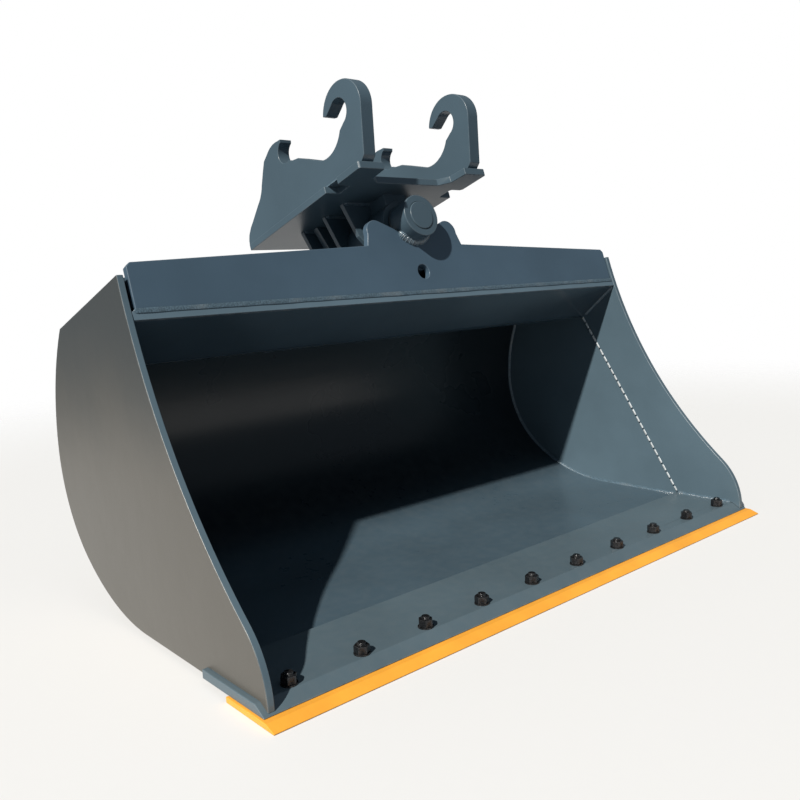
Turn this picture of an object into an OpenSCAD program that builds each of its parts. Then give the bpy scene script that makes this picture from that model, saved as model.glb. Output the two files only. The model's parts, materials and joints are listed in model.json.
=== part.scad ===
// Tilting ditch bucket with a hook-on headstock.
// X runs along the cutting edge, Y from the mouth to the back, Z up.
// The origin is on the ground, under the middle of the lip's front edge.

/* [Bucket body] */
// Length of the lip plate, end to end
lip_length = 1800; // [1300:10:2400]
// How far the lip stands proud of each side plate
lip_overhang = 12; // [4:1:30]
// Depth of the lip plate, front to back
lip_depth = 232; // [180:2:300]
// Thickness of the lip plate
lip_t = 20; // [16:1:30]
// Thickness of the floor and back shell
shell_t = 12; // [8:1:16]
// Radius on which the floor begins to rise to the heel
floor_r = 535; // [440:5:600]
// Radius of the heel, where the floor turns up into the back
heel_r = 344; // [300:2:380]
// Radius of the upper back
back_r = 532; // [440:2:560]
// Distance from the lip's front edge to the furthest point of the back
body_depth = 982; // [900:2:1080]
// Thickness of the roof plate
roof_t = 12; // [8:1:16]
// Slope of the roof, falling to the back
roof_angle = 18; // [12:1:24]
// Height of the roof's front edge over the ground
roof_front_z = 831; // [780:1:880]
// Distance from the lip's front edge back to the roof's front edge
roof_front_y = 502; // [460:2:540]
// Thickness of the side cutters, along the mouth
cutter_t = 16; // [12:1:25]
// Thickness of the side plates behind the cutters
side_t = 10; // [8:1:12]
// Radius of the hollow front edge of the side cutters
cutter_hollow_r = 1450; // [1300:10:2000]
// Radius of the nose at the foot of each side cutter
cutter_nose_r = 193; // [150:1:220]

/* [Cutting edge] */
// Thickness of the bolt-on edge
edge_t = 12; // [10:0.5:20]
// Depth of the bolt-on edge, front to back
edge_depth = 170; // [140:5:220]
// How far the edge stands in front of the lip
edge_reach = 40; // [20:1:60]
// How far the edge stands past each end of the lip
edge_overhang = 5; // [0:1:10]
// Number of edge bolts
bolt_count = 10; // [6:2:14]
// Pitch of the edge bolts
bolt_pitch = 180; // [120:5:200]
// Distance of the bolts behind the lip's front edge
bolt_y = 50; // [40:1:80]
// Diameter of the edge bolts
bolt_d = 20; // [16:1:24]
// Width of the edge nuts across their flats
nut_af = 30; // [24:1:36]
// Width of each skid bar under the floor
skid_w = 80; // [50:5:120]

/* [Front beam] */
// Thickness of the front beam plate
beam_t = 20; // [12:1:25]
// Depth of the beam plate below the roof
beam_drop = 83; // [60:1:100]
// Height of the beam plate's ends over the roof
beam_end_rise = 28; // [15:1:40]
// Height of the beam plate's middle over the roof
beam_mid_rise = 56; // [35:1:60]
// Thickness of the flange along the foot of the beam
flange_t = 21; // [12:1:25]
// Diameter of the lifting hole in the beam
lift_hole_d = 42; // [30:1:50]
// Thickness of the torque box plates
box_t = 12; // [8:1:16]

/* [Tilt pivot] */
// Height of the tilt axis over the roof
axis_h = 125; // [120:1:135]
// Diameter of the tilt pin
pin_d = 80; // [70:1:80]
// Outside diameter of the pin bosses
boss_d = 120; // [110:1:130]
// How far the front boss stands out in front of the beam
boss_reach = 47; // [30:1:60]
// Outside diameter of the headstock's pivot tube
tube_d = 150; // [140:1:156]
// Wall of the pivot bushes
bush_wall = 6; // [4:0.5:8]
// Radial running clearance of the pin in its bushes
running_gap = 0.05; // [0.02:0.01:0.1]
// Thickness of the rear ear
ear_t = 25; // [20:1:30]
// Distance from the beam's front face to the rear ear
ear_s = 345; // [340:1:350]

/* [Headstock] */
// Thickness of the hook plates
hook_t = 40; // [30:1:45]
// Width over the outside faces of the hook plates
hook_span = 432; // [400:2:460]
// Thickness of the base plate
base_t = 20; // [16:1:25]
// Width of the base plate
base_w = 472; // [460:2:500]
// Height of the base plate's underside over the tilt axis
base_h = 99; // [95:1:110]
// Radius of the front hook seat
seat_r = 36; // [32:0.5:38]
// Radius of the rear hook seat
rear_seat_r = 33; // [28:0.5:34]
// Thickness of the gussets under the base plate
gusset_t = 15; // [10:1:20]

/* [Tilt cylinders] */
// Drop from the tilt axis to the line of the cylinders
crank_drop = 79; // [76:0.5:80]
// Diameter of the crosshead pin
cross_pin_d = 26; // [22:1:28]
// Clearance each side of the crosshead pin in its slots
slot_gap = 1.4; // [1.2:0.1:2]
// Greatest tilt to each side
tilt_max = 30; // [20:1:30]
// Outside diameter of the cylinder barrels
barrel_d = 76; // [70:1:78]
// Bore of the cylinder barrels
bore_d = 60; // [50:1:62]
// Diameter of the rods
rod_d = 34; // [28:1:38]

/* [Hidden] */
$fn = 64;

paint = "#566472";
steel = "#9a9da0";
side_x = lip_length / 2 - lip_overhang;
lip_z = edge_t;
lip_top = lip_z + lip_t;
// The lip's front is bevelled from its top down to a narrow nose
lip_nose = lip_z + 3;
lip_bevel = bolt_y - bolt_d / 2 - 9;
back_y = body_depth - back_r;
// Angle through which the floor's rise turns before the heel takes over
rise_turn = 37;
heel_c = [body_depth - heel_r, lip_z + floor_r - (floor_r - heel_r) * cos(rise_turn)];
floor_c = [heel_c[0] - (floor_r - heel_r) * sin(rise_turn), lip_z + floor_r];
waist_z = heel_c[1];
cut_big = 3000;

// Side cutter: the seam between the thick front plate and the thin rear plate
seam_foot_y = 222;
seam_lean = 33;
nose_y = 4;
nose_z = lip_z + 8;
nose_turn = 48;

// Front beam and torque box, in the roof's own frame
beam_half = side_x - cutter_t - 10;
hump_foot = 178;
hump_c = [134, 95];
hump_r = 34;
apex_s = 183;
apex_drop = 175;
box_back_s = 330;
flange_depth = 60;

// Pivot, along the tilt axis
pin_r = pin_d / 2;
boss_r = boss_d / 2;
tube_r = tube_d / 2;
bush_r = pin_r + running_gap;
tube_bore_r = bush_r + bush_wall;
ring_t = 8;
side_play = 1.5;
tube_front = beam_t + ring_t + side_play * 2;
tube_rear = ear_s - ring_t - side_play * 2;
rear_boss_l = 22;
pin_cap_t = 10;

// Headstock: the hook plates are set out from the base plate's top, over the roof's front edge
base_u = axis_h + base_h;
base_top = base_u + base_t;
base_front = -111;
base_rear = 474;
hook_in = hook_span / 2 - hook_t;
seat_at = [-7, 172];
rear_seat_at = [257, 107];
gusset_s = [110, 204, 322];
gusset_top = 136;

// Cylinders, lying across the roof
crank_t = 22;
crank_gap = 44;
cyl_s = gusset_s[1] + gusset_t + 1 + crank_t + crank_gap / 2;
cyl_h = axis_h - crank_drop;
crank_s = [cyl_s - crank_gap / 2 - crank_t, cyl_s + crank_gap / 2];
// Crosshead travel per radian of tilt, and its travel at full tilt
yoke_travel = crank_drop * 1.08;
stroke = yoke_travel * tilt_max * PI / 180;
slot_r = cross_pin_d / 2 + slot_gap;
slot_far = sqrt(crank_drop * crank_drop + stroke * stroke) + 0.5;
crank_half = slot_r + 12.5;
crosshead_l = 64;
crosshead_w = crank_gap - 4;
crosshead_h = 44;
gland_x = crosshead_l / 2 + stroke + 16;
gland_flange = 12;
gland_l = 37;
barrel_x = gland_x + gland_flange;
piston_l = 40;
piston_x = gland_x + gland_l + stroke + 20;
barrel_end = piston_x + piston_l + stroke + 30;
cap_t = 20;
cyl_eye_r = 24;
bracket_r = cyl_eye_r + 4;
cyl_eye_x = barrel_end + cap_t + bracket_r + 3;
cyl_eye_w = 30;
cyl_pin_r = 12;
bracket_t = 14;
port_x = barrel_end - 12;
port_r = 7.6;

// A place in the roof's frame, given along the slope and square to it, as world [y, z]
function on_roof(s, t) = [roof_front_y + s * cos(roof_angle) + t * sin(roof_angle),
    roof_front_z - s * sin(roof_angle) + t * cos(roof_angle)];
hook_datum = on_roof(0, base_top);
// Points of an arc about a centre
function arc(c, r, a0, a1, n) = [for (i = [0:n]) c + r * [cos(a0 + (a1 - a0) * i / n),
    sin(a0 + (a1 - a0) * i / n)]];
// The same outline's left half, in the order that closes it
function flip(points) = [for (i = [len(points) - 1:-1:0]) [-points[i][0], points[i][1]]];

// Extrudes a [y, z] outline along X
module along_x(x0, x1) {
    translate([x0, 0, 0])
        rotate([90, 0, 90])
            linear_extrude(x1 - x0)
                children();
}

// The roof's frame: X across, Y down the slope, Z square to the roof
module roof_frame() {
    translate([0, roof_front_y, roof_front_z])
        rotate([-roof_angle, 0, 0])
            children();
}

// Extrudes an [x, height over roof] outline along the tilt axis
module along_axis(s0, s1) {
    translate([0, s1, 0])
        rotate([90, 0, 0])
            linear_extrude(s1 - s0)
                children();
}

// A round bar on the tilt axis
module axis_bar(r, s0, s1) {
    along_axis(s0, s1)
        translate([0, axis_h])
            circle(r);
}

module mirrored() {
    children();
    mirror([1, 0, 0])
        children();
}

// ---- Bucket body outlines, as [y, z] ----

// Everything inside the bucket's skin, shrunk by inset; open at the top.
// Flat floor, then three bends that run into each other: rise, heel and back
module skin(inset) {
    step = 3;
    polygon(concat([[-cut_big, cut_big], [-cut_big, lip_z + inset]],
        arc(floor_c, floor_r - inset, -90, rise_turn - 90, 12),
        arc(heel_c, heel_r - inset, rise_turn - 90 + step, 0, 18),
        arc([back_y, waist_z], back_r - inset, step, 90, 30),
        [[back_y, cut_big]]));
}

// Everything below a line lying drop under the roof's top face
module below_roof(drop) {
    translate([roof_front_y, roof_front_z])
        rotate(-roof_angle)
            translate([-cut_big / 2, -cut_big - drop])
                square([cut_big, cut_big]);
}

// Everything behind the front edge of the side cutters
module behind_front_edge() {
    nose_c = [nose_y + cutter_nose_r, nose_z];
    nose_end = nose_c + cutter_nose_r * [-cos(nose_turn), sin(nose_turn)];
    top = on_roof(0, 0);
    chord = top - nose_end;
    half = norm(chord) / 2;
    lean = [-chord[1], chord[0]] / norm(chord);
    centre = (top + nose_end) / 2 + lean * sqrt(cutter_hollow_r * cutter_hollow_r - half * half);
    difference() {
        translate([nose_y, 0])
            square([cut_big, cut_big]);
        translate(centre)
            circle(cutter_hollow_r, $fn = 256);
        difference() {
            square([nose_c[0], nose_end[1]]);
            translate(nose_c)
                circle(cutter_nose_r);
        }
    }
}

module side_outline() {
    difference() {
        intersection() {
            skin(0);
            below_roof(0);
            behind_front_edge();
        }
        polygon([[-1, 0], [-1, lip_nose], [0, lip_nose], [lip_bevel, lip_top],
            [lip_depth, lip_top], [lip_depth, 0]]);
    }
}

// Everything behind the seam between side cutter and side plate
module behind_seam() {
    translate([seam_foot_y, lip_top])
        rotate(-seam_lean)
            translate([0, -cut_big / 2])
                square(cut_big);
}

module side_plate() {
    color(paint)
        along_x(side_x - side_t, side_x)
            intersection() {
                side_outline();
                behind_seam();
            }
}

module side_cutter() {
    color(paint)
        along_x(side_x - cutter_t, side_x)
            difference() {
                side_outline();
                behind_seam();
            }
}

module side_plate_left() {
    mirror([1, 0, 0])
        side_plate();
}

module side_plate_right() {
    side_plate();
}

module side_cutter_left() {
    mirror([1, 0, 0])
        side_cutter();
}

module side_cutter_right() {
    side_cutter();
}

module floor_shell() {
    color(paint)
        along_x(-side_x + side_t, side_x - side_t)
            intersection() {
                difference() {
                    skin(0);
                    skin(shell_t);
                }
                below_roof(roof_t);
                translate([lip_depth, 0])
                    square(cut_big);
            }
}

module roof_plate() {
    color(paint)
        intersection() {
            roof_frame()
                translate([-side_x + side_t, beam_t, -roof_t])
                    cube([2 * (side_x - side_t), cut_big, roof_t]);
            along_x(-side_x, side_x)
                skin(0);
            union() {
                roof_frame()
                    translate([-side_x + cutter_t, 0, -roof_t])
                        cube([2 * (side_x - cutter_t), cut_big, roof_t]);
                along_x(-side_x, side_x)
                    behind_seam();
            }
        }
}

// ---- Lip, edge and their bolts ----

function bolt_x(i) = (i - (bolt_count - 1) / 2) * bolt_pitch;

module at_bolts() {
    for (i = [0:bolt_count - 1])
        translate([bolt_x(i), bolt_y, 0])
            children();
}

hole_r = bolt_d / 2 + 1;
head_r = bolt_d / 2 + 9;
head_h = edge_t - 2;
washer_t = 3;
nut_h = 17;

module lip_plate() {
    color(paint)
        difference() {
            along_x(-lip_length / 2, lip_length / 2)
                polygon([[0, lip_z], [0, lip_nose], [lip_bevel, lip_top],
                    [lip_depth, lip_top], [lip_depth, lip_z]]);
            at_bolts()
                translate([0, 0, lip_z - 1])
                    cylinder(r = hole_r, h = lip_t + 2);
        }
}

module cutting_edge() {
    half = lip_length / 2 + edge_overhang;
    bevel_run = 26;
    land = 2.5;
    color("#f2a93c")
        difference() {
            along_x(-half, half)
                polygon([[-edge_reach, 0], [-edge_reach, land],
                    [bevel_run - edge_reach, edge_t], [edge_depth - edge_reach, edge_t],
                    [edge_depth - edge_reach, 0]]);
            at_bolts() {
                translate([0, 0, -1])
                    cylinder(r = hole_r, h = edge_t + 2);
                translate([0, 0, -1])
                    cylinder(r1 = head_r + 1.5, r2 = hole_r, h = head_h + 2);
            }
        }
}

module edge_bolts() {
    color("#2b2d30")
        at_bolts() {
            translate([0, 0, 1])
                cylinder(r1 = head_r - 0.5, r2 = bolt_d / 2, h = head_h - 1);
            translate([0, 0, 1])
                cylinder(d = bolt_d, h = lip_top + washer_t + nut_h + 6);
        }
}

module edge_washers() {
    color("#2b2d30")
        at_bolts()
            translate([0, 0, lip_top])
                difference() {
                    cylinder(r = nut_af / 2 + 3, h = washer_t);
                    translate([0, 0, -1])
                        cylinder(r = hole_r, h = washer_t + 2);
                }
}

// Hexagon nuts with chamfered crowns
module edge_nuts() {
    color("#2b2d30")
        at_bolts()
            translate([0, 0, lip_top + washer_t])
                difference() {
                    intersection() {
                        cylinder(r = nut_af / sqrt(3), h = nut_h, $fn = 6);
                        cylinder(r1 = nut_af * 0.8, r2 = nut_af * 0.5, h = nut_h + 2.5);
                    }
                    translate([0, 0, -1])
                        cylinder(d = bolt_d, h = nut_h + 2);
                }
}

// Flat bars that carry the floor level with the underside of the edge
module skid_bars() {
    skid_front = lip_depth + 18;
    skid_rear = floor_c[0] + 90;
    skid_x = side_x - 130;
    color(paint)
        for (i = [0:3])
            along_x((i / 3 * 2 - 1) * skid_x - skid_w / 2, (i / 3 * 2 - 1) * skid_x + skid_w / 2)
                difference() {
                    translate([skid_front, 0])
                        square([skid_rear - skid_front, lip_z + 6]);
                    skin(0);
                }
}

// ---- Front beam and torque box ----

module front_beam() {
    end_chamfer = 10;
    // Right half: end, hump beside the boss, and the dip into the boss
    beam_right = concat([[beam_half, -beam_drop], [beam_half, beam_end_rise - end_chamfer],
        [beam_half - end_chamfer, beam_end_rise], [hump_foot, beam_mid_rise]],
        arc(hump_c, hump_r, -8, 115, 14), [[boss_r - 10, hump_c[1]]]);
    color(paint)
        roof_frame()
            difference() {
                along_axis(0, beam_t)
                    polygon(concat(beam_right, flip(beam_right)));
                axis_bar(boss_r, -1, beam_t + 1);
                translate([0, -1, -23])
                    rotate([-90, 0, 0])
                        cylinder(d = lift_hole_d, h = beam_t + 2);
            }
}

module beam_flange() {
    half = side_x - cutter_t;
    color(paint)
        roof_frame()
            translate([-half, 0, -beam_drop - flange_t])
                cube([2 * half, flange_depth, flange_t]);
}

// The bent plate that closes the beam into a box under the roof
module torque_box_panel() {
    half = side_x - cutter_t;
    foot = [4, -beam_drop - flange_t];
    apex = [apex_s, -apex_drop];
    head = [box_back_s, -roof_t];
    front_n = [apex[1] - foot[1], foot[0] - apex[0]] / norm(apex - foot);
    back_n = [head[1] - apex[1], apex[0] - head[0]] / norm(head - apex);
    bend_r = 48;
    bend_c = apex - (front_n + back_n) * bend_r / (1 + front_n * back_n);
    bend_from = atan2(front_n[1], front_n[0]);
    bend_to = atan2(back_n[1], back_n[0]);
    lean = (head - apex) / norm(head - apex);
    head_in = head - box_t * back_n;
    color(paint)
        roof_frame()
            translate([-half, 0, 0])
                rotate([90, 0, 90])
                    linear_extrude(2 * half)
                        polygon(concat([foot], arc(bend_c, bend_r, bend_from, bend_to, 8),
                            [head, head_in - lean * (head_in[1] - head[1]) / lean[1]],
                            arc(bend_c, bend_r - box_t, bend_to, bend_from, 8),
                            [[foot[0] + box_t / tan(35), foot[1]]]));
}

// Small webs that back up the beam plate above the roof
module beam_gussets() {
    gusset_l = 90;
    spread = beam_half - 60;
    rows = [0.4, 0.7, 1];
    color(paint)
        roof_frame()
            mirrored()
                for (f = rows)
                    translate([spread * f, beam_t, 0])
                        rotate([90, 0, 90])
                            translate([0, 0, -5])
                                linear_extrude(10)
                                    polygon([[0, 0], [gusset_l, 0], [gusset_l, 8],
                                        [8, beam_end_rise - 6], [0, beam_end_rise - 6]]);
}

// ---- Tilt pivot, bucket side ----

module front_boss() {
    color(paint)
        roof_frame()
            difference() {
                axis_bar(boss_r, -boss_reach, beam_t);
                axis_bar(bush_r, -boss_reach - 1, beam_t + 1);
            }
}

module rear_ear() {
    foot = 170;
    ear_r = 72;
    spread = norm([foot, axis_h]);
    lift = acos(ear_r / spread) - atan2(axis_h, foot);
    tangent = [ear_r * cos(lift), axis_h + ear_r * sin(lift)];
    color(paint)
        roof_frame()
            difference() {
                union() {
                    axis_bar(ear_r, ear_s, ear_s + ear_t);
                    along_axis(ear_s, ear_s + ear_t)
                        polygon([[-foot, 0], [foot, 0], tangent, [-tangent[0], tangent[1]]]);
                }
                axis_bar(bush_r, ear_s - 1, ear_s + ear_t + 1);
            }
}

module rear_boss() {
    color(paint)
        roof_frame()
            difference() {
                axis_bar(boss_r, ear_s + ear_t, ear_s + ear_t + rear_boss_l);
                axis_bar(bush_r, ear_s, ear_s + ear_t + rear_boss_l + 1);
            }
}

// The pin stands a little proud of the front boss
module tilt_pin() {
    color(steel)
        roof_frame()
            axis_bar(pin_r, -boss_reach - 3, cap_s);
}

cap_s = ear_s + ear_t + rear_boss_l;
cap_bolt_pcr = boss_r - 10;

module at_cap_bolts(s) {
    for (i = [0:3])
        translate([cap_bolt_pcr * cos(45 + 90 * i), s, axis_h + cap_bolt_pcr * sin(45 + 90 * i)])
            rotate([-90, 0, 0])
                children();
}

module pin_cap() {
    color(paint)
        roof_frame()
            difference() {
                axis_bar(boss_r - 2, cap_s, cap_s + pin_cap_t);
                at_cap_bolts(cap_s - 1)
                    cylinder(d = 8, h = pin_cap_t + 2);
            }
}

module pin_cap_bolts() {
    color(steel)
        roof_frame()
            at_cap_bolts(cap_s + pin_cap_t) {
                cylinder(r = 7.5, h = 5, $fn = 6);
                translate([0, 0, -pin_cap_t])
                    cylinder(d = 8, h = pin_cap_t);
            }
}

module grease_nipples() {
    color(steel)
        roof_frame()
            for (s = [-boss_reach / 2, ear_s + ear_t + rear_boss_l / 2])
                translate([0, s, axis_h + boss_r]) {
                    cylinder(r = 4.5, h = 5, $fn = 6);
                    cylinder(r = 2.5, h = 11);
                }
}

// ---- Headstock ----

// One hook plate as [y, z]: front hook, saddle, rear hook and tail
module hook_outline() {
    seat = hook_datum + seat_at;
    rear_seat = hook_datum + rear_seat_at;
    difference() {
        polygon(concat([hook_datum + [-84, 18], hook_datum + [-107, 50]],
            arc(hook_datum + [-29, 177], 75, 183, 92, 14),
            arc(hook_datum + [-25, 166], 86, 88, 2, 14),
            [seat + [-4, -4], seat + [-6, -37]],
            arc(hook_datum + [78, 149], 91, 190, 270, 12),
            [hook_datum + [191, 80], rear_seat + [-32, 3 - rear_seat_r]],
            arc(rear_seat, rear_seat_r - 12, -60, 30, 1),
            [hook_datum + [276, 144]],
            arc(hook_datum + [285, 55], 86, 86, 40, 8),
            [hook_datum + [369, 93], hook_datum + [380, 60]],
            arc(hook_datum + [489, 41], 100, 190, 224, 8),
            [hook_datum + [454, -76], hook_datum + [469, -94], hook_datum + [481, -116],
                hook_datum + [484, -134], hook_datum + [482, -150]]));
        translate(seat) {
            circle(seat_r);
            rotate(-45)
                translate([0, -seat_r + 0.5])
                    square([3 * seat_r, 2 * seat_r - 1]);
        }
        translate(rear_seat)
            circle(rear_seat_r);
    }
}

module hook_plate(x0) {
    color(paint)
        difference() {
            along_x(x0, x0 + hook_t)
                hook_outline();
            roof_frame()
                translate([-cut_big / 2, -cut_big / 2, base_top - cut_big])
                    cube(cut_big);
        }
}

module hook_plate_left() {
    hook_plate(-hook_in - hook_t);
}

module hook_plate_right() {
    hook_plate(hook_in);
}

// Base plate: front tabs with a bay between them, and a notch in each side
module base_plate() {
    half = base_w / 2;
    notch_s = [-3, 48];
    notch_x = half - 46;
    tab_in = 151;
    bay_s = -29;
    right = [[half, base_rear], [half, notch_s[1]], [notch_x + 4, notch_s[1]],
        [notch_x, notch_s[1] - 4], [notch_x, notch_s[0] + 4], [notch_x + 4, notch_s[0]],
        [half - 8, notch_s[0]], [half, notch_s[0] - 8], [half, base_front + 5],
        [half - 5, base_front], [tab_in, base_front], [tab_in - 4, bay_s - 24], [114, bay_s]];
    color(paint)
        roof_frame()
            translate([0, 0, base_u])
                linear_extrude(base_t)
                    polygon(concat(right, flip(right)));
}

module pivot_tube(s0, s1) {
    color(paint)
        roof_frame()
            difference() {
                axis_bar(tube_r, s0, s1);
                axis_bar(tube_bore_r, s0 - 1, s1 + 1);
            }
}

module pivot_tube_front() {
    pivot_tube(tube_front, crank_s[0]);
}

module pivot_tube_rear() {
    pivot_tube(crank_s[1] + crank_t, tube_rear);
}

// Packing between the pivot tube and the base plate
module tube_saddle() {
    color(paint)
        roof_frame()
            difference() {
                translate([-40, tube_front + 8, axis_h + tube_r - 14])
                    cube([80, gusset_s[0] - tube_front - 8, base_u - axis_h - tube_r + 14]);
                axis_bar(tube_r, tube_front, gusset_s[0] + 1);
            }
}

module bush(s0, s1) {
    color("#b08d57")
        roof_frame()
            difference() {
                axis_bar(tube_bore_r, s0, s1);
                axis_bar(bush_r, s0 - 1, s1 + 1);
            }
}

module front_bush() {
    bush(tube_front, tube_front + 90);
}

module rear_bush() {
    bush(crank_s[1], tube_rear);
}

module thrust_ring(s) {
    color(steel)
        roof_frame()
            difference() {
                axis_bar(boss_r - 2, s, s + ring_t);
                axis_bar(bush_r, s - 1, s + ring_t + 1);
            }
}

module front_thrust_ring() {
    thrust_ring(beam_t);
}

module rear_thrust_ring() {
    thrust_ring(ear_s - ring_t);
}

// A web that narrows from top, high over the tilt axis, to a round foot of radius r
module web_outline(top, high, r) {
    inner = r - 0.5;
    turn = atan2(high, top) - acos(inner / norm([top, high]));
    tangent = inner * [cos(turn), sin(turn)];
    translate([0, axis_h]) {
        polygon([[-top, high], [top, high], tangent, [-tangent[0], tangent[1]]]);
        circle(r);
    }
}

// Webs between base plate and pivot tube: steep sides to a shoulder, then in under the tube
module headstock_gussets() {
    shoulder = [105, 2];
    color(paint)
        roof_frame()
            for (s = gusset_s)
                difference() {
                    along_axis(s, s + gusset_t) {
                        web_outline(shoulder[0], shoulder[1], tube_r + 8);
                        translate([0, axis_h])
                            polygon([[gusset_top, base_h], shoulder, [-shoulder[0], shoulder[1]],
                                [-gusset_top, base_h]]);
                    }
                    axis_bar(tube_r, s - 1, s + gusset_t + 1);
                }
}

// The slotted crank arms that the crosshead pin drives
module crank_plates() {
    color(paint)
        roof_frame()
            for (s = crank_s)
                difference() {
                    along_axis(s, s + crank_t)
                        difference() {
                            union() {
                                web_outline(110, base_h, tube_r - 9);
                                translate([-crank_half, axis_h - slot_far])
                                    square([2 * crank_half, slot_far]);
                                translate([0, axis_h - slot_far])
                                    circle(crank_half);
                            }
                            translate([0, axis_h - slot_far])
                                circle(slot_r);
                            translate([0, cyl_h])
                                circle(slot_r);
                            translate([-slot_r, axis_h - slot_far])
                                square([2 * slot_r, slot_far - crank_drop]);
                        }
                    axis_bar(tube_bore_r, s - 1, s + crank_t + 1);
                }
}

// ---- Tilt cylinders ----

// A frame on the cylinders' line, with Z pointing out to one side
module cylinder_frame(side) {
    roof_frame()
        translate([0, cyl_s, cyl_h])
            rotate([0, 90 * side, 0])
                children();
}

module barrel(side) {
    color(paint)
        difference() {
            union() {
                cylinder_frame(side) {
                    translate([0, 0, barrel_x])
                        cylinder(d = barrel_d, h = barrel_end + cap_t - barrel_x);
                    translate([-cyl_eye_r, -cyl_eye_w / 2, barrel_end + cap_t - 1])
                        cube([2 * cyl_eye_r, cyl_eye_w, cyl_eye_x - barrel_end - cap_t + 1]);
                    translate([0, -cyl_eye_w / 2, cyl_eye_x])
                        rotate([-90, 0, 0])
                            cylinder(r = cyl_eye_r, h = cyl_eye_w);
                    translate([0, 0, port_x])
                        rotate([-90, 0, 0])
                            cylinder(r = 14, h = barrel_d / 2 + 10);
                }
            }
            cylinder_frame(side) {
                translate([0, 0, barrel_x - 1])
                    cylinder(d = bore_d, h = barrel_end - barrel_x + 1);
                translate([0, -cyl_eye_w, cyl_eye_x])
                    rotate([-90, 0, 0])
                        cylinder(r = cyl_pin_r, h = 2 * cyl_eye_w);
                translate([0, 0, port_x])
                    rotate([-90, 0, 0])
                        cylinder(r = port_r, h = barrel_d / 2 + 11);
            }
        }
}

module barrel_left() {
    barrel(-1);
}

module barrel_right() {
    barrel(1);
}

module gland(side) {
    color("#2b2d30")
        cylinder_frame(side)
            difference() {
                union() {
                    translate([0, 0, gland_x])
                        cylinder(d = barrel_d - 6, h = gland_flange);
                    translate([0, 0, gland_x])
                        cylinder(d = bore_d, h = gland_l);
                }
                translate([0, 0, gland_x - 1])
                    cylinder(r = rod_d / 2 + running_gap, h = gland_l + 2);
            }
}

module gland_left() {
    gland(-1);
}

module gland_right() {
    gland(1);
}

module rod(side) {
    color(steel)
        cylinder_frame(side)
            translate([0, 0, crosshead_l / 2])
                cylinder(d = rod_d, h = piston_x + piston_l - crosshead_l / 2);
}

module rod_left() {
    rod(-1);
}

module rod_right() {
    rod(1);
}

module piston(side) {
    color(steel)
        cylinder_frame(side)
            translate([0, 0, piston_x])
                difference() {
                    cylinder(r = bore_d / 2 - running_gap, h = piston_l);
                    translate([0, 0, -1])
                        cylinder(d = rod_d, h = piston_l + 2);
                }
}

module piston_left() {
    piston(-1);
}

module piston_right() {
    piston(1);
}

module crosshead() {
    color(steel)
        cylinder_frame(1)
            difference() {
                translate([-crosshead_h / 2, -crosshead_w / 2, -crosshead_l / 2])
                    cube([crosshead_h, crosshead_w, crosshead_l]);
                translate([0, -crosshead_w, 0])
                    rotate([-90, 0, 0])
                        cylinder(d = cross_pin_d, h = 2 * crosshead_w);
            }
}

module crosshead_pin() {
    half = crank_gap / 2 + crank_t - 1;
    color(steel)
        cylinder_frame(1)
            translate([0, -half, 0])
                rotate([-90, 0, 0])
                    cylinder(d = cross_pin_d, h = 2 * half);
}

module cylinder_brackets() {
    color(paint)
        roof_frame()
            mirrored()
                for (s = [cyl_s - cyl_eye_w / 2 - bracket_t - 1, cyl_s + cyl_eye_w / 2 + 1])
                    along_axis(s, s + bracket_t)
                        difference() {
                            union() {
                                translate([cyl_eye_x, cyl_h])
                                    circle(bracket_r);
                                polygon([[cyl_eye_x - bracket_r, 0], [cyl_eye_x + bracket_r + 40, 0],
                                    [cyl_eye_x + bracket_r, cyl_h], [cyl_eye_x - bracket_r, cyl_h]]);
                            }
                            translate([cyl_eye_x, cyl_h])
                                circle(cyl_pin_r);
                        }
}

module cylinder_pins() {
    half = cyl_eye_w / 2 + bracket_t + 5;
    color(steel)
        roof_frame()
            mirrored()
                along_axis(cyl_s - half, cyl_s + half)
                    translate([cyl_eye_x, cyl_h])
                        circle(cyl_pin_r);
}

// Cradles that carry the barrels' inner ends on the roof
module cylinder_saddles() {
    saddle_w = 36;
    color(paint)
        mirrored()
            difference() {
                roof_frame()
                    translate([barrel_x + 8, cyl_s - barrel_d / 2 - 4, 0])
                        cube([saddle_w, barrel_d + 8, cyl_h - 4]);
                cylinder_frame(1)
                    translate([0, 0, barrel_x])
                        cylinder(d = barrel_d, h = 3 * saddle_w);
            }
}

floor_shell();
roof_plate();
side_plate_left();
side_plate_right();
side_cutter_left();
side_cutter_right();
lip_plate();
cutting_edge();
edge_bolts();
edge_washers();
edge_nuts();
skid_bars();
front_beam();
beam_flange();
beam_gussets();
torque_box_panel();
front_boss();
rear_ear();
rear_boss();
tilt_pin();
pin_cap();
pin_cap_bolts();
cylinder_brackets();
cylinder_pins();
cylinder_saddles();
barrel_left();
barrel_right();
gland_left();
gland_right();
hook_plate_left();
hook_plate_right();
base_plate();
pivot_tube_front();
pivot_tube_rear();
tube_saddle();
front_bush();
rear_bush();
front_thrust_ring();
rear_thrust_ring();
headstock_gussets();
crank_plates();
rod_left();
rod_right();
piston_left();
piston_right();
crosshead();
crosshead_pin();
grease_nipples();
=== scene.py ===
"""Looks of a tilting ditch bucket: its painted plates, welds, bolts and studio."""

import json
import math

import bmesh
import bpy
import numpy as np
from mathutils import Matrix, Vector

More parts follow.
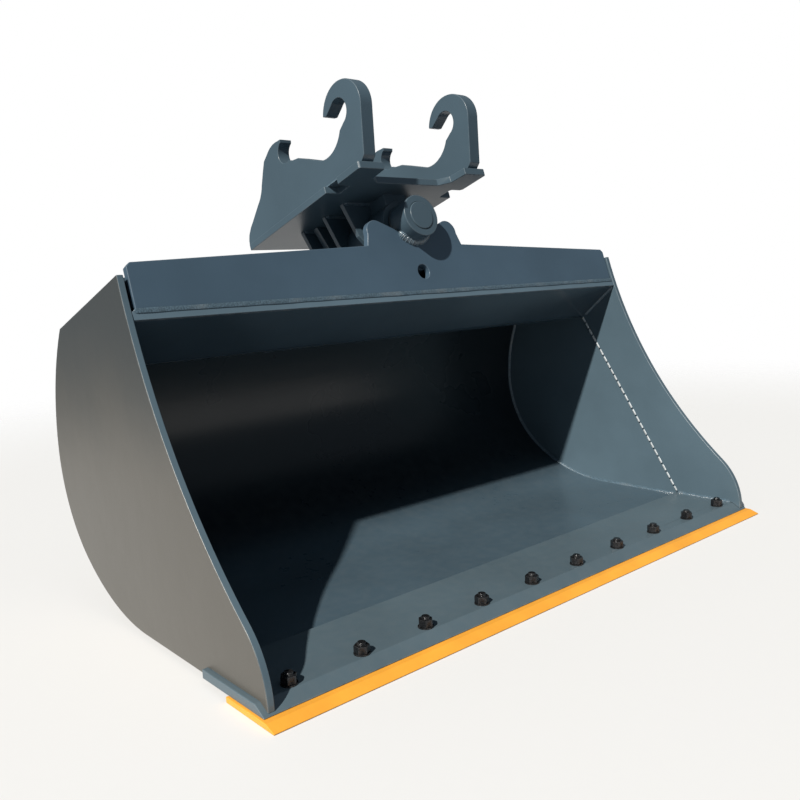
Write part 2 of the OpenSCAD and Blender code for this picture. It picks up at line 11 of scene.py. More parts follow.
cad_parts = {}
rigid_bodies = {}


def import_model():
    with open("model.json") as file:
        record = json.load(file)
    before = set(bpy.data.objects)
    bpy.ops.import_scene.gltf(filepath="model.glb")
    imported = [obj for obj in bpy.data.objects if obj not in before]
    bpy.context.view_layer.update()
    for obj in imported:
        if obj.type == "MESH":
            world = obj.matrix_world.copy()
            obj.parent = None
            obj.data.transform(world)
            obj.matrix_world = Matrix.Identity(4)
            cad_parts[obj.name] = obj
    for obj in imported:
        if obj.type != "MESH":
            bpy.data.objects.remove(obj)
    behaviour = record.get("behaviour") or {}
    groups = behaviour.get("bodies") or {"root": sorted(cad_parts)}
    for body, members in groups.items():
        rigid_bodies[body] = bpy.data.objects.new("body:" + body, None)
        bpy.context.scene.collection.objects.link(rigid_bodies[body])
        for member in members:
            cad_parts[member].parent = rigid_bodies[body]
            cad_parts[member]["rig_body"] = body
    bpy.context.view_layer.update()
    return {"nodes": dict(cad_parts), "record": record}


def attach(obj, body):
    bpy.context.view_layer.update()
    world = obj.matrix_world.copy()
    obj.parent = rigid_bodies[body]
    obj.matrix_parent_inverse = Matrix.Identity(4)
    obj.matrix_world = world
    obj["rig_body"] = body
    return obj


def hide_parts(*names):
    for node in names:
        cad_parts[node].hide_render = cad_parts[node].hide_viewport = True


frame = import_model()

MM = 0.001

# Sizes that the bucket's plates are made to, in millimetres
side_x = 888
cutter_t = 16
side_t = 10
shell_t = 12
lip_z = 12
lip_top = 32
lip_depth = 232
floor_r = 535
heel_r = 344
back_r = 532
body_depth = 982
rise_turn = 37  # degrees that the floor's bend turns through
back_turn = 118  # degrees at which the back meets the roof
seam_lean = math.radians(33)
seam_foot_y = 222
seam_across = seam_foot_y * math.cos(seam_lean) - lip_top * math.sin(seam_lean)

# The roof's own frame: its front edge, its slope and the tilt axis above it
roof_front = np.array([0.0, 502.0, 831.0])
slope = math.radians(18)
down_slope = np.array([0.0, math.cos(slope), -math.sin(slope)])
off_roof = np.array([0.0, math.sin(slope), math.cos(slope)])
axis_h = 125
base_u = 224
base_top = 244

# Bolts of the cutting edge
bolt_x = (np.arange(10) - 4.5) * 180
bolt_y = 50
bolt_r = 10


# ---- Finishes ----


class Level:
    """A number, colour or vector that varies over a surface. Arithmetic on numbers adds Math nodes."""

    def __init__(self, finish, socket):
        self.finish = finish
        self.socket = socket

    def _math(self, operation, *values):
        return self.finish.add("ShaderNodeMath", {"operation": operation}, dict(enumerate(values)))

    def __add__(self, other):
        return self._math("ADD", self, other)

    __radd__ = __add__

    def __sub__(self, other):
        return self._math("SUBTRACT", self, other)

    def __rsub__(self, other):
        return self._math("SUBTRACT", other, self)

    def __mul__(self, other):
        return self._math("MULTIPLY", self, other)

    __rmul__ = __mul__

    def size(self):
        """The number without its sign."""
        return self._math("ABSOLUTE", self)

    def between(self, low, high):
        """0 below low, 1 above high, and a smooth rise between them."""
        return self.finish.add(
            "ShaderNodeMapRange",
            {"interpolation_type": "SMOOTHSTEP"},
            {"Value": self, "From Min": low, "From Max": high},
        )


class Finish:
    """One material, built node by node round a Principled shader."""

    def __init__(self, name):
        self.material = bpy.data.materials.new(name)
        self.material.use_nodes = True
        self.tree = self.material.node_tree
        self.tree.nodes.clear()

    def add(self, kind, settings=None, inputs=None, out=0):
        """Adds a node: its settings first, then the values or links of its sockets."""
        node = self.tree.nodes.new(kind)
        for key, value in (settings or {}).items():
            setattr(node, key, value)
        for key, value in (inputs or {}).items():
            if isinstance(value, Level):
                self.tree.links.new(value.socket, node.inputs[key])
            else:
                node.inputs[key].default_value = value
        return Level(self, node.outputs[out])

    def place(self, stretch=(1, 1, 1)):
        """Object coordinates, stretched along each axis."""
        where = self.add("ShaderNodeTexCoord", out="Object")
        return self.add("ShaderNodeMapping", None, {"Vector": where, "Scale": stretch})

    def noise(self, place, scale, detail=3.0, rough=0.5):
        return self.add(
            "ShaderNodeTexNoise",
            None,
            {"Vector": place, "Scale": scale, "Detail": detail, "Roughness": rough},
        )

    def blend(self, share, below, above):
        """A colour that goes from below to above as share goes from 0 to 1."""
        node = self.tree.nodes.new("ShaderNodeMix")
        node.data_type = "RGBA"
        for key, value in ((0, share), (6, below), (7, above)):
            if isinstance(value, Level):
                self.tree.links.new(value.socket, node.inputs[key])
            else:
                node.inputs[key].default_value = value
        return Level(self, node.outputs[2])

    def faces(self, axis):
        """How far the surface faces along X, Y or Z, from -1 to 1."""
        normal = self.add("ShaderNodeNewGeometry", out="Normal")
        return self.add("ShaderNodeSeparateXYZ", None, {0: normal}, out=axis)

    def stands(self, axis):
        """The place of a point along X, Y or Z, in metres."""
        return self.add("ShaderNodeSeparateXYZ", None, {0: self.place()}, out=axis)

    def edges(self, radius):
        """1 beside the sharp edges of a plate, falling to 0 within the radius."""
        true = self.add("ShaderNodeNewGeometry", out="Normal")
        soft = self.add("ShaderNodeBevel", {"samples": 4}, {"Radius": radius})
        near = self.add("ShaderNodeVectorMath", {"operation": "DOT_PRODUCT"}, {0: true, 1: soft}, out="Value")
        return (1 - near).between(0.02, 0.2)

    def bump(self, height, depth):
        return self.add("ShaderNodeBump", None, {"Height": height, "Distance": depth})

    def shown(self, shader):
        """Ends the material with this shader."""
        output = self.tree.nodes.new("ShaderNodeOutputMaterial")
        self.tree.links.new(shader.socket, output.inputs["Surface"])
        return self.material

    def surface(self, **sockets):
        """Ends the material with a Principled shader of these sockets."""
        values = {name.replace("_", " "): value for name, value in sockets.items()}
        return self.shown(self.add("ShaderNodeBsdfPrincipled", None, values))


def shade(colour, factor):
    """The colour made lighter or darker, as RGBA."""
    return tuple(min(1.0, c * factor) for c in colour[:3]) + (1.0,)


def plate_paint(name, colour, roughness=0.34, dust=0.06, wear_and_glint=0.4, painted_reflection=None, deep=1.0):
    """Sprayed semi-gloss paint on plate: slow changes of tone, orange peel, mill marks under the paint,
    a little dust where it faces up, and paler, shinier paint at the edges, which is edge wear and painted
    highlight both. The outsides of the bucket can carry a painted reflection in two tones, (high up, low
    down). The inside of the back is deep times as light: that stands for shade, and 1 leaves the paint plain."""
    f = Finish(name)
    place = f.place()
    cloud = f.noise(place, 2.6, 4.0, 0.55)
    mottle = f.noise(place, 34.0, 5.0, 0.6)
    peel = f.noise(place, 380.0, 2.0, 0.5)
    roll = f.noise(f.place((1.0, 5.0, 5.0)), 2.4, 2.0, 0.45)
    lies = f.faces("Z").between(0.35, 0.95) * mottle.between(0.3, 0.75) * dust
    # Paler, greyer paint along the sharp edges: edge wear, and painted highlight where the edges catch the
    # light.
    worn_and_glint = f.edges(0.004) * mottle.between(0.3, 0.62) * wear_and_glint
    scuff = f.noise(f.place((3.0, 42.0, 42.0)), 4.0, 6.0, 0.7).between(0.66, 0.74) * cloud.between(0.5, 0.62)
    tone = f.blend(cloud.between(0.25, 0.75), shade(colour, 0.9), shade(colour, 1.1))
    if deep < 1:
        inside = (0 - f.faces("Y")).between(0.1, 0.5) * f.stands("Y").between(0.55, 0.85)
        tone = f.blend(inside, tone, shade(colour, deep))
    # Outer faces of the sides: darker high up, lighter and warmer low down, a painted reflection of the
    # surroundings.
    if painted_reflection:
        outside = (f.faces("X") * f.stands("X")).between(0.3, 0.7)
        low = 1 - (f.stands("Z") + (cloud - 0.5) * 0.3).between(0.35, 0.75)
        tone = f.blend(outside, tone, f.blend(low, shade(painted_reflection[0], 1), shade(painted_reflection[1], 1)))
        across = f.stands("Y") * math.cos(seam_lean) - f.stands("Z") * math.sin(seam_lean)
        worn_and_glint = worn_and_glint * (across - seam_across * MM).size().between(0.006, 0.012)
    tone = f.blend(scuff * 0.12, tone, shade(colour, 2.1))
    tone = f.blend(lies, tone, (0.22, 0.22, 0.21, 1.0))
    tone = f.blend(worn_and_glint, tone, (0.34, 0.37, 0.39, 1.0))
    gloss = roughness + (cloud - 0.5) * 0.10 + lies * 0.9 + scuff * 0.1 - worn_and_glint * 0.3
    height = peel * 0.16 + mottle * 0.12 + roll * 0.9
    return f.surface(
        Base_Color=tone,
        Roughness=gloss,
        Normal=f.bump(height, 0.0011),
        Coat_Weight=0.08,
        Coat_Roughness=0.2,
        Specular_IOR_Level=0.38,
    )


def weld_paint(name, colour):
    """Painted weld metal: glossier than the plate, with spatter and darker paint in its ripples."""
    f = Finish(name)
    place = f.place()
    grain = f.noise(place, 240.0, 4.0, 0.6)
    cloud = f.noise(place, 14.0, 3.0, 0.5)
    tone = f.blend(grain.between(0.35, 0.65), shade(colour, 0.85), shade(colour, 1.6))
    tone = f.blend(cloud.between(0.45, 0.8) * 0.25, tone, (0.30, 0.31, 0.31, 1.0))
    return f.surface(
        Base_Color=tone,
        Roughness=0.24 + grain * 0.12,
        Normal=f.bump(grain, 0.0006),
        Coat_Weight=0.25,
        Coat_Roughness=0.12,
    )


def edge_paint(name, colour):
    """Thick yellow-orange paint on the bolt-on edge, thinner and scuffed at its rim."""
    f = Finish(name)
    place = f.place()
    cloud = f.noise(place, 5.0, 4.0, 0.6)
    mottle = f.noise(place, 46.0, 5.0, 0.6)
    peel = f.noise(place, 420.0, 2.0, 0.5)
    drag = f.noise(f.place((2.0, 60.0, 60.0)), 5.0, 5.0, 0.7).between(0.6, 0.72)
    rim = f.edges(0.004) * mottle.between(0.45, 0.7)
    tone = f.blend(cloud.between(0.3, 0.7), shade(colour, 0.9), shade(colour, 1.06))
    tone = f.blend(drag * 0.16, tone, shade(colour, 0.62))
    tone = f.blend(rim * 0.5, tone, (0.30, 0.17, 0.06, 1.0))
    return f.surface(
        Base_Color=tone,
        Roughness=0.42 + (cloud - 0.5) * 0.14 + drag * 0.1,
        Normal=f.bump(peel * 0.25 + mottle * 0.5, 0.0008),
    )


def black_oxide(name):
    """Oiled black oxide on forged bolts and nuts."""
    f = Finish(name)
    place = f.place()
    grain = f.noise(place, 330.0, 4.0, 0.6)
    patch = f.noise(place, 60.0, 3.0, 0.5)
    rim = f.edges(0.0012) * patch.between(0.35, 0.65)
    tone = f.blend(grain.between(0.3, 0.7), (0.012, 0.013, 0.015, 1.0), (0.035, 0.036, 0.040, 1.0))
    tone = f.blend(rim * 0.7, tone, (0.30, 0.31, 0.32, 1.0))
    return f.surface(
        Base_Color=tone,
        Metallic=0.6,
        Roughness=0.18 + patch * 0.16,
        Normal=f.bump(grain, 0.0003),
    )


def machined(name, colour, roughness, lay=(30.0, 30.0, 30.0), metallic=1.0):
    """Machined metal: fine tool marks across the lay, oil-darkened in patches."""
    f = Finish(name)
    marks = f.noise(f.place(lay), 60.0, 5.0, 0.7)
    patch = f.noise(f.place(), 35.0, 3.0, 0.5)
    tone = f.blend(patch.between(0.3, 0.75), shade(colour, 0.72), shade(colour, 1.05))
    return f.surface(
        Base_Color=tone,
        Metallic=metallic,
        Roughness=roughness + marks * 0.16,
        Normal=f.bump(marks, 0.00012),
    )


slate = (0.060, 0.096, 0.126)
slate_paint = plate_paint("slate_plate_paint", slate)
# A lighter copy of the slate paint, painted light on the sides; their edges are paled more, for wear and
# painted highlight.
lit_side_paint = plate_paint("slate_side_paint_painted_light", (0.080, 0.124, 0.158), 0.37, wear_and_glint=0.8,
                         painted_reflection=((0.050, 0.056, 0.058), (0.094, 0.090, 0.080)))
# A lighter, bluer copy of the slate paint: painted sheen on the front beam.
sheen_beam_paint = plate_paint("slate_beam_paint_painted_sheen", (0.061, 0.103, 0.148), roughness=0.32)
shell_paint = plate_paint("slate_shell_paint", slate, roughness=0.28, deep=0.2)
# A darker, glossier copy of the slate paint: painted shade on the torque box panel.
shaded_panel_paint = plate_paint("slate_panel_paint_painted_shade", (0.045, 0.072, 0.096), roughness=0.2)
# A lighter copy of the slate paint: painted highlight on the beam flange.
highlit_flange_paint = plate_paint("slate_flange_paint_painted_highlight", (0.110, 0.168, 0.215), roughness=0.3)
# A lighter copy of the slate paint: painted light on the lip plate.
lit_lip_paint = plate_paint("slate_lip_paint_painted_light", (0.084, 0.124, 0.152))
weld_finish = weld_paint("painted_weld", slate)
# Pale weld colour for the stitched seams: a painted glint along the bead.
glint_weld = weld_paint("weld_painted_glint", (0.52, 0.56, 0.59))
orange_paint = edge_paint("edge_orange_paint", (0.90, 0.40, 0.045))
bolt_finish = black_oxide("bolt_black_oxide")
steel_finish = machined("machined_steel", (0.45, 0.45, 0.46), 0.24, (1.0, 90.0, 90.0))
rod_finish = machined("rod_hard_chrome", (0.76, 0.77, 0.79), 0.05, (140.0, 4.0, 4.0))
bronze_finish = machined("bush_bronze", (0.60, 0.40, 0.19), 0.26)


# ---- Shapes ----


def on_roof(x, s, t):
    """Points given across, down the slope and square to the roof, in world millimetres."""
    x, s, t = np.broadcast_arrays(*(np.asarray(v, float) for v in (x, s, t)))
    level = x[..., None] * np.array([1.0, 0, 0]) + roof_front
    return level + s[..., None] * down_slope + t[..., None] * off_roof


def unit(v):
    return v / np.linalg.norm(v, axis=-1, keepdims=True)


def make_piece(name, points, quads, finish, body, crease=35):
    """A mesh piece from points in millimetres and an array of quads; its doubles are merged, so that
    seams and poles close, and its normals are turned outwards."""
    mesh = bpy.data.meshes.new(name)
    points = np.asarray(points, float).reshape(-1, 3) * MM
    quads = np.asarray(quads, np.int32).reshape(-1, 4)
    mesh.vertices.add(len(points))
    mesh.vertices.foreach_set("co", points.astype(np.float32).ravel())
    mesh.loops.add(quads.size)
    mesh.loops.foreach_set("vertex_index", quads.ravel())
    mesh.polygons.add(len(quads))
    mesh.polygons.foreach_set("loop_start", np.arange(0, quads.size, 4, dtype=np.int32))
    mesh.update(calc_edges=True)
    shape = bmesh.new()
    shape.from_mesh(mesh)
    bmesh.ops.remove_doubles(shape, verts=shape.verts, dist=2e-6)
    bmesh.ops.dissolve_degenerate(shape, edges=shape.edges, dist=1e-6)
    bmesh.ops.recalc_face_normals(shape, faces=shape.faces)
    shape.to_mesh(mesh)
    shape.free()
    mesh.shade_smooth()
    mesh.set_sharp_from_angle(angle=math.radians(crease))
    mesh.materials.append(finish)
    piece = bpy.data.objects.new(name, mesh)
    bpy.context.scene.collection.objects.link(piece)
    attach(piece, body)
    return piece


def tube_quads(rows, columns, copies=1):
    """Quads of a grid of rows by columns whose columns join up into a ring, for several copies in a row."""
    i = np.arange(rows - 1)[:, None] * columns
    j = np.arange(columns)[None, :]
    k = (j + 1) % columns
    one = np.stack([i + j, i + k, i + columns + k, i + columns + j], axis=-1).reshape(-1, 4)
    return (one[None] + np.arange(copies)[:, None, None] * rows * columns).reshape(-1, 4)


def softened(node, width, finish, skip=None, segments=2):
    """A merged copy of a CAD plate that stands for it. Its flat faces are freed of their triangles, and
    its sharp edges are rounded to the width, apart from those whose middle skip picks."""
    body = frame["nodes"][node]["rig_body"]
    mesh = frame["nodes"][node].data.copy()
    mesh.name = node + "_plate"
    shape = bmesh.new()
    shape.from_mesh(mesh)
    bmesh.ops.remove_doubles(shape, verts=shape.verts, dist=1e-6)
    bmesh.ops.dissolve_limit(shape, angle_limit=math.radians(0.15), verts=shape.verts, edges=shape.edges)
    weight = shape.edges.layers.float.new("bevel_weight_edge")
    for edge in shape.edges:
        sharp = edge.is_manifold and edge.calc_face_angle(0.0) > math.radians(28)
        middle = (edge.verts[0].co + edge.verts[1].co) / 2 / MM
        edge[weight] = 1.0 if sharp and not (skip and skip(middle)) else 0.0
    shape.to_mesh(mesh)
    shape.free()
    mesh.shade_smooth()
    mesh.set_sharp_from_angle(angle=math.radians(28))
    mesh.materials.clear()
    mesh.materials.append(finish)
    piece = bpy.data.objects.new(node + "_plate", mesh)
    bpy.context.scene.collection.objects.link(piece)
    round_over = piece.modifiers.new("edge", "BEVEL")
    round_over.limit_method = "WEIGHT"
    round_over.width = width * MM
    round_over.segments = segments
    round_over.use_clamp_overlap = False
    round_over.harden_normals = True
    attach(piece, body)
    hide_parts(node)
    return piece


def along(path, step):
    """The same path, resampled to points a step apart by its running length."""
    path = np.asarray(path, float)
    run = np.concatenate([[0.0], np.cumsum(np.linalg.norm(np.diff(path, axis=0), axis=1))])
    count = max(8, int(run[-1] / step))
    at = np.linspace(0, run[-1], count)
    return np.stack([np.interp(at, run, path[:, k]) for k in range(3)], axis=1), at


def weld(name, path, wall_a, wall_b, leg, body="bucket", pitch=4.5, bulge=1.35, seed=1,
         stitch=None, finish=None, crown=(0, 0, 0)):
    """A fillet weld in the corner of two plates. The section at each point of the path is
    corner + leg (a cos(v)^bulge + b sin(v)^bulge) for v from 0 to 90 degrees, closed behind the corner,
    and leg swells once a pitch like the ripples of the bead. A proud bead adds its crown times sin(2 v). The
    legs shrink to nothing at both ends, and between the stitches, (length, gap), of a bead laid in steps."""
    points, run = along(path, pitch / 5)
    a, b = (np.broadcast_to(unit(np.asarray(w, float)), points.shape) if np.ndim(w) == 1 else w(points)
            for w in (wall_a, wall_b))
    rng = np.random.default_rng(seed)
    drift = np.interp(run, np.linspace(0, run[-1], 40), rng.uniform(-0.09, 0.09, 40))
    wave = np.abs(np.sin(np.pi * run / pitch)) ** 0.7
    size = leg * (1 + drift) * (0.86 + 0.14 * wave)
    size = size * np.clip(np.minimum(run, run[-1] - run) / leg, 0, 1) ** 0.5
    if stitch:
        into = (run + 3 * np.sin(run / 37)) % sum(stitch)
        size = size * np.clip(np.minimum(into, stitch[0] - into) / 2, 0.35, 1)
    v = np.radians(np.linspace(0, 90, 7))
    ca, cb = np.cos(v) ** bulge, np.sin(v) ** bulge
    lag = 0.35 * leg * np.sin(2 * v)
    forward = unit(np.gradient(points, axis=0))
    arc = points[:, None] + size[:, None, None] * (a[:, None] * ca[:, None] + b[:, None] * cb[:, None])
    arc = arc + (size / leg)[:, None, None] * np.sin(2 * v)[:, None] * np.asarray(crown, float)
    arc = arc - forward[:, None] * lag[:, None] * np.clip(size / leg, 0, 1)[:, None, None] * 0.4
    back = points[:, None] - 0.12 * size[:, None, None] * (a + b)[:, None]
    ring = np.concatenate([arc, back], axis=1)
    ring[0], ring[-1] = points[0], points[-1]
    return make_piece(name, ring, tube_quads(len(points), 8), finish or weld_finish, body, 50)


slots = {p["node"]: p["material_slot"] for p in frame["record"]["subparts"]}
finishes = {
    "paint": slate_paint,
    "edge_paint": orange_paint,
    "black_bolt": bolt_finish,
    "bare_steel": steel_finish,
    "rod_chrome": rod_finish,
    "bronze": bronze_finish,
}
for node, piece in frame["nodes"].items():
    finish = finishes[slots[node]]
    if not piece.material_slots:
        piece.data.materials.append(finish)
    for place in piece.material_slots:
        place.material = finish


# ---- Plates of the bucket and its headstock ----


def outside_seam(middle):
    """Picks the seam between side cutter and side plate on the outside, where it is ground flush."""
    across = middle.y * math.cos(seam_lean) - middle.z * math.sin(seam_lean)
    return abs(middle.x) > side_x - 1 and abs(across - seam_across) < 1.5


for side in ("left", "right"):
    softened("side_plate_" + side, 1.6, lit_side_paint, outside_seam)
    softened("side_cutter_" + side, 2.2, lit_side_paint, outside_seam)
    softened("hook_plate_" + side, 2.0, slate_paint)
for node, width, finish in (
    ("floor_shell", 1.0, shell_paint),
    ("roof_plate", 1.2, slate_paint),
    ("lip_plate", 1.8, lit_lip_paint),
    ("cutting_edge", 1.2, orange_paint),
    ("skid_bars", 2.0, slate_paint),
    ("front_beam", 2.2, sheen_beam_paint),
    ("beam_flange", 1.6, highlit_flange_paint),
    ("beam_gussets", 1.2, slate_paint),
    ("torque_box_panel", 1.4, shaded_panel_paint),
    ("front_boss", 2.2, slate_paint),
    ("rear_ear", 2.0, slate_paint),
    ("rear_boss", 2.0, slate_paint),
    ("tilt_pin", 2.4, slate_paint),
    ("pin_cap", 1.6, slate_paint),
    ("base_plate", 2.0, slate_paint),
    ("headstock_gussets", 1.5, slate_paint),
    ("tube_saddle", 1.2, slate_paint),
    ("pivot_tube_front", 1.6, slate_paint),
    ("pivot_tube_rear", 1.6, slate_paint),
    ("crank_plates", 1.6, slate_paint),
    ("cylinder_brackets", 1.4, slate_paint),
    ("cylinder_saddles", 1.2, slate_paint),
    ("barrel_left", 1.2, slate_paint),
    ("barrel_right", 1.2, slate_paint),
):
    softened(node, width, finish)


# ---- Bolts, washers and nuts of the cutting edge ----


def turned(profile, round_at, columns=48):
    """Rings of a turned part: each profile row is (radius, height), and round_at(angle, radius, height)
    gives the true radius at each angle. The first and last rows close on the axis."""
    angle = np.arange(columns) * 2 * math.pi / columns
    radius, height = np.asarray(profile, float).T
    r = round_at(angle[None, :], radius[:, None], height[:, None])
    rise = np.broadcast_to(height[:, None], r.shape)
    return np.stack([r * np.cos(angle), r * np.sin(angle), rise], axis=-1)


def at_bolts(name, ring, finish):
    """The same turned part at every bolt, each turned a little differently."""
    rng = np.random.default_rng(8)
    turn = rng.uniform(0, math.pi / 3, len(bolt_x))
    c, s = np.cos(turn), np.sin(turn)
    spin = np.stack([np.stack([c, -s, 0 * c], -1), np.stack([s, c, 0 * c], -1),
                     np.stack([0 * c, 0 * c, 0 * c + 1], -1)], axis=-2)
    places = np.stack([bolt_x, np.full(len(bolt_x), bolt_y), np.zeros(len(bolt_x))], axis=-1)
    copies = np.einsum("bij,rcj->brci", spin, ring) + places[:, None, None]
    quads = tube_quads(ring.shape[0], ring.shape[1], len(bolt_x))
    return make_piece(name, copies, quads, finish, "bucket", 30)


def threaded(angle, radius, height):
    """A thread of pitch 2.5: above the head the radius falls by a triangle wave of height and angle."""
    phase = (height / 2.5 - angle / (2 * math.pi)) % 1.0
    depth = 1.35 * np.clip(1.25 * (1 - np.abs(2 * phase - 1)) - 0.1, 0, 1)
    cut = (height > lip_top + 2) & (radius > 6)
    return np.where(cut, np.minimum(radius, bolt_r - depth), radius + 0 * angle)


head = [(0, 1.0), (18.0, 1.0), (18.5, 1.4), (10.0, 10.0)]
thread_rows = [(bolt_r, z) for z in np.arange(lip_top + 1.0, lip_top + 25.2, 0.42)]
thread_end = [(8.6, lip_top + 26.0), (0, lip_top + 26.0)]
bolt = turned(head + thread_rows + thread_end, threaded)
bolts = at_bolts("edge_bolts_threaded", bolt, bolt_finish)
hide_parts("edge_bolts")


def plain_round(angle, radius, height):
    return radius + 0 * angle


washer = [(11.0, 32.2), (11.0, 32.0), (17.6, 32.0), (18.0, 32.3), (18.0, 34.7), (17.7, 35.0),
          (11.0, 35.0), (11.0, 32.2)]
washers = at_bolts("edge_washers_round", turned(washer, plain_round), bolt_finish)
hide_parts("edge_washers")


def six_sided(angle, radius, height):
    """The lesser of a hexagon 30 across flats and the profile's own radius, which cuts the corners."""
    flat = 15.0 / np.cos((angle + math.pi / 6) % (math.pi / 3) - math.pi / 6)
    return np.where(radius > 13.5, np.minimum(flat, radius), radius + 0 * angle)


nut = [(9.6, 36.0), (10.6, 35.0), (14.6, 35.0), (17.6, 36.3), (17.6, 50.2), (16.4, 51.2), (14.5, 52.0),
       (10.6, 52.0), (9.6, 51.0), (9.6, 36.0)]
nuts = at_bolts("edge_nuts_hexagon", turned(nut, six_sided, 72), bolt_finish)
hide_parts("edge_nuts")


# ---- Welds ----


def shell_line(x, inset):
    """The inside of the shell in side view: flat floor, a rising bend, the heel, and the back up to the
    roof. Each bend is centre + radius (sin v, -cos v)."""
    turn = math.radians(rise_turn)
    heel_z = lip_z + floor_r - (floor_r - heel_r) * math.cos(turn)
    heel = np.array([body_depth - heel_r, heel_z])
    rise = np.array([heel[0] - (floor_r - heel_r) * math.sin(turn), lip_z + floor_r])
    back = np.array([body_depth - back_r, heel_z])
    parts = [np.array([[lip_depth + 6, lip_z + inset]])]
    bends = ((rise, floor_r, 0, rise_turn), (heel, heel_r, rise_turn, 90), (back, back_r, 90, back_turn))
    for centre, radius, start, stop in bends:
        v = np.radians(np.linspace(start, stop, 30))[:, None]
        parts.append(centre + (radius - inset) * np.concatenate([np.sin(v), -np.cos(v)], axis=1))
    line = np.concatenate(parts)
    return np.concatenate([np.full((len(line), 1), x), line], axis=1)


def off_shell(points):
    """The direction off the shell towards the inside: its running direction turned a quarter turn."""
    forward = unit(np.gradient(points, axis=0))
    return np.stack([0 * forward[:, 0], -forward[:, 2], forward[:, 1]], axis=1)


def round_boss(points):
    """Straight away from the tilt axis, square to it."""
    arm = points - on_roof(0, 0, axis_h)
    return unit(arm - (arm @ down_slope)[:, None] * down_slope)


across = np.array([1.0, 0, 0])
seam_up = np.array([0.0, math.sin(seam_lean), math.cos(seam_lean)])
seam_back = np.array([0.0, math.cos(seam_lean), -math.sin(seam_lean)])
up = np.array([0.0, 0, 1.0])
for side, sign in (("left", -1), ("right", 1)):
    cutter_face = sign * (side_x - cutter_t)
    side_face = sign * (side_x - side_t)
    inward = -sign * across
    foot = np.array([side_face, seam_foot_y, lip_top])
    # The seam welds take the pale weld colour, a painted glint.
    weld("seam_weld_" + side, [foot + seam_up * 5, foot + seam_up * 780], seam_back,
         0.88 * inward - 0.47 * seam_back, 8.2, stitch=(24, 3), finish=glint_weld, seed=3 + sign,
         crown=1.6 * inward)
    weld("lip_end_weld_" + side, [[cutter_face, 36, lip_top], [cutter_face, lip_depth - 8, lip_top]],
         inward, up, 8, seed=7 + sign)
    weld("shell_weld_" + side, shell_line(side_face, shell_t), inward, off_shell, 7.5, pitch=6, seed=9 + sign)
    front = on_roof([cutter_face, cutter_face], [8, 150], [-105, -162])
    weld("box_weld_" + side, front, inward, unit(-0.37 * down_slope - 0.93 * off_roof), 7, seed=13 + sign)
    for place, x in (("inner", 176), ("outer", 216)):
        out = sign * across * (1 if place == "outer" else -1)
        weld("hook_weld_" + side + "_" + place, on_roof([sign * x] * 2, [-99, 470], [base_top] * 2),
             out, off_roof, 8, "headstock", seed=17 + sign)
weld("lip_rear_weld", [[-side_x + side_t, lip_depth, 24.0], [side_x - side_t, lip_depth, 24.0]], up,
     np.array([0, 1.0, 0]), 7.5, pitch=6, seed=11)
weld("flange_weld", on_roof([-868, 868], [0, 0], [-83, -83]), 0.95 * off_roof - 0.3 * down_slope,
     -0.95 * off_roof - 0.3 * down_slope, 6, pitch=6, seed=12)
weld("beam_roof_weld", on_roof([-860, 860], [20, 20], [0, 0]), down_slope, off_roof, 7, pitch=8, seed=21)
sweep = np.radians(np.linspace(206, 334, 60))
weld("boss_weld", on_roof(60 * np.cos(sweep), 0, axis_h + 60 * np.sin(sweep)), round_boss, -down_slope, 13,
     pitch=5, seed=22)
for name, s, t, half, rise, body in (
    ("ear_weld", (345, 370), 0, 166, off_roof, "bucket"),
    ("gusset_weld_front", (110, 125), base_u, 132, -off_roof, "headstock"),
    ("gusset_weld_middle", (204, 219), base_u, 132, -off_roof, "headstock"),
    ("gusset_weld_rear", (322, 337), base_u, 132, -off_roof, "headstock"),
):
    for face, at, sense in (("a", s[0], -1), ("b", s[1], 1)):
        weld(name + "_" + face, on_roof([-half, half], [at, at], [t, t]), sense * down_slope, rise, 7, body,
             pitch=6, seed=int(at))


# ---- Studio ----


def studio_floor():
    """A pale disc that fades away into the backdrop with distance from the bucket."""
    f = Finish("studio_floor")
    rings, columns = 24, 96
    angle = np.arange(columns) * 2 * math.pi / columns
    radius = np.linspace(0, 9, rings)[:, None]
    x, y = radius * np.cos(angle), 0.5 + radius * np.sin(angle)
    points = np.stack([x, y, np.full_like(x, -0.0008)], axis=-1)
    mesh = bpy.data.meshes.new("studio_floor")
    mesh.from_pydata(points.reshape(-1, 3).tolist(), [], tube_quads(rings, columns).tolist())
    grain = f.noise(f.place(), 40.0, 3.0)
    bounce = f.add("ShaderNodeLightPath", out="Is Diffuse Ray")
    tone = f.blend(bounce, (0.80, 0.81, 0.83, 1), (0.30, 0.31, 0.33, 1))
    shader = f.add("ShaderNodeBsdfPrincipled", None, {"Base Color": tone, "Roughness": 0.6 + grain * 0.1})
    clear = f.add("ShaderNodeBsdfTransparent")
    span = f.add("ShaderNodeVectorMath", {"operation": "LENGTH"}, {0: f.place()}, out="Value")
    faded = span.between(2.4, 5.5)
    mixed = f.add("ShaderNodeMixShader", None, {0: faded, 1: shader, 2: clear})
    mesh.materials.append(f.shown(mixed))
    floor = bpy.data.objects.new("studio_floor", mesh)
    bpy.context.scene.collection.objects.link(floor)


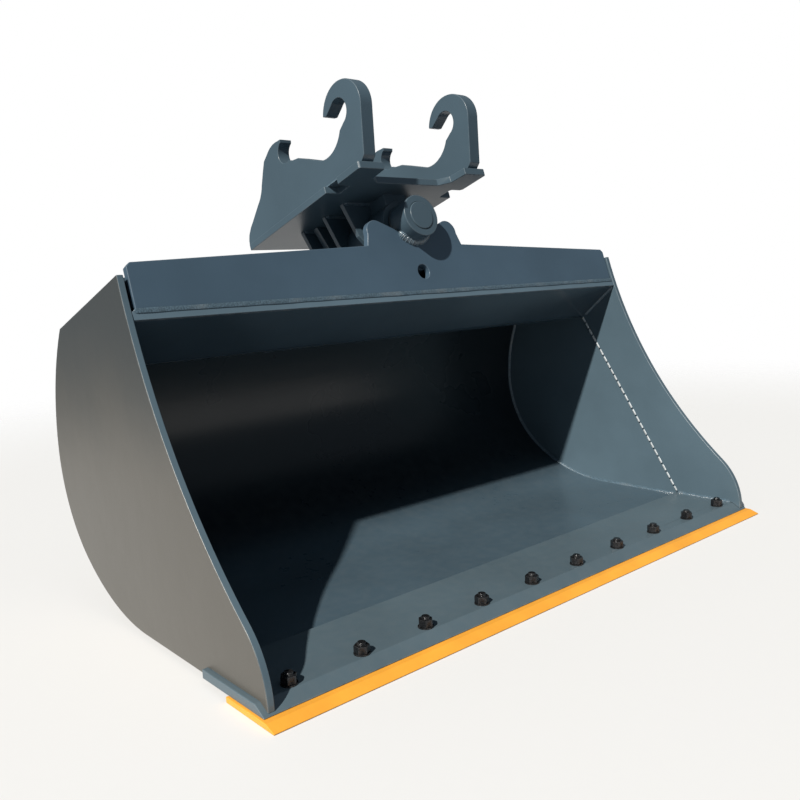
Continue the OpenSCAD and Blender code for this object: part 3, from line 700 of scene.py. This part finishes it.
def studio_light():
    """A warm, narrow key from the left front, which casts clear shadows, and a cool even fill."""
    key = bpy.data.lights.new("key", "SUN")
    key.energy = 5.2
    key.angle = math.radians(1.4)
    key.color = (1.0, 0.95, 0.87)
    lamp = bpy.data.objects.new("key", key)
    lamp.rotation_euler = Vector((0.728, 0.241, -0.642)).to_track_quat("-Z", "Y").to_euler()
    bpy.context.scene.collection.objects.link(lamp)
    world = bpy.data.worlds.new("studio")
    world.use_nodes = True
    nodes, links = world.node_tree.nodes, world.node_tree.links
    nodes.clear()
    fill = nodes.new("ShaderNodeBackground")
    fill.inputs["Color"].default_value = (0.74, 0.87, 1.0, 1)
    fill.inputs["Strength"].default_value = 0.185
    white = nodes.new("ShaderNodeBackground")
    white.inputs["Color"].default_value = (1, 1, 1, 1)
    white.inputs["Strength"].default_value = 1.0
    path = nodes.new("ShaderNodeLightPath")
    mix = nodes.new("ShaderNodeMixShader")
    output = nodes.new("ShaderNodeOutputWorld")
    links.new(path.outputs["Is Camera Ray"], mix.inputs[0])
    links.new(fill.outputs[0], mix.inputs[1])
    links.new(white.outputs[0], mix.inputs[2])
    links.new(mix.outputs[0], output.inputs["Surface"])
    bpy.context.scene.world = world


def studio_camera():
    """Looks down a little at the bucket's front from its left, and is rolled by under three degrees."""
    yaw, pitch, roll = 0.710698, 0.147655, -0.0467748
    forward = Vector((math.sin(yaw) * math.cos(pitch), math.cos(yaw) * math.cos(pitch), -math.sin(pitch)))
    level = Vector((math.cos(yaw), -math.sin(yaw), 0))
    up = level.cross(forward)
    right = level * math.cos(roll) + up * math.sin(roll)
    top = up * math.cos(roll) - level * math.sin(roll)
    lens = bpy.data.cameras.new("camera")
    lens.sensor_width = 36
    lens.lens = 37.818
    camera = bpy.data.objects.new("camera", lens)
    turn = Matrix((right, top, -forward)).transposed().to_4x4()
    camera.matrix_world = Matrix.Translation((-1.62442, -1.26324, 0.80239)) @ turn
    bpy.context.scene.collection.objects.link(camera)
    bpy.context.scene.camera = camera


studio_floor()
studio_light()
studio_camera()
bpy.context.scene.view_settings.view_transform = "Standard"
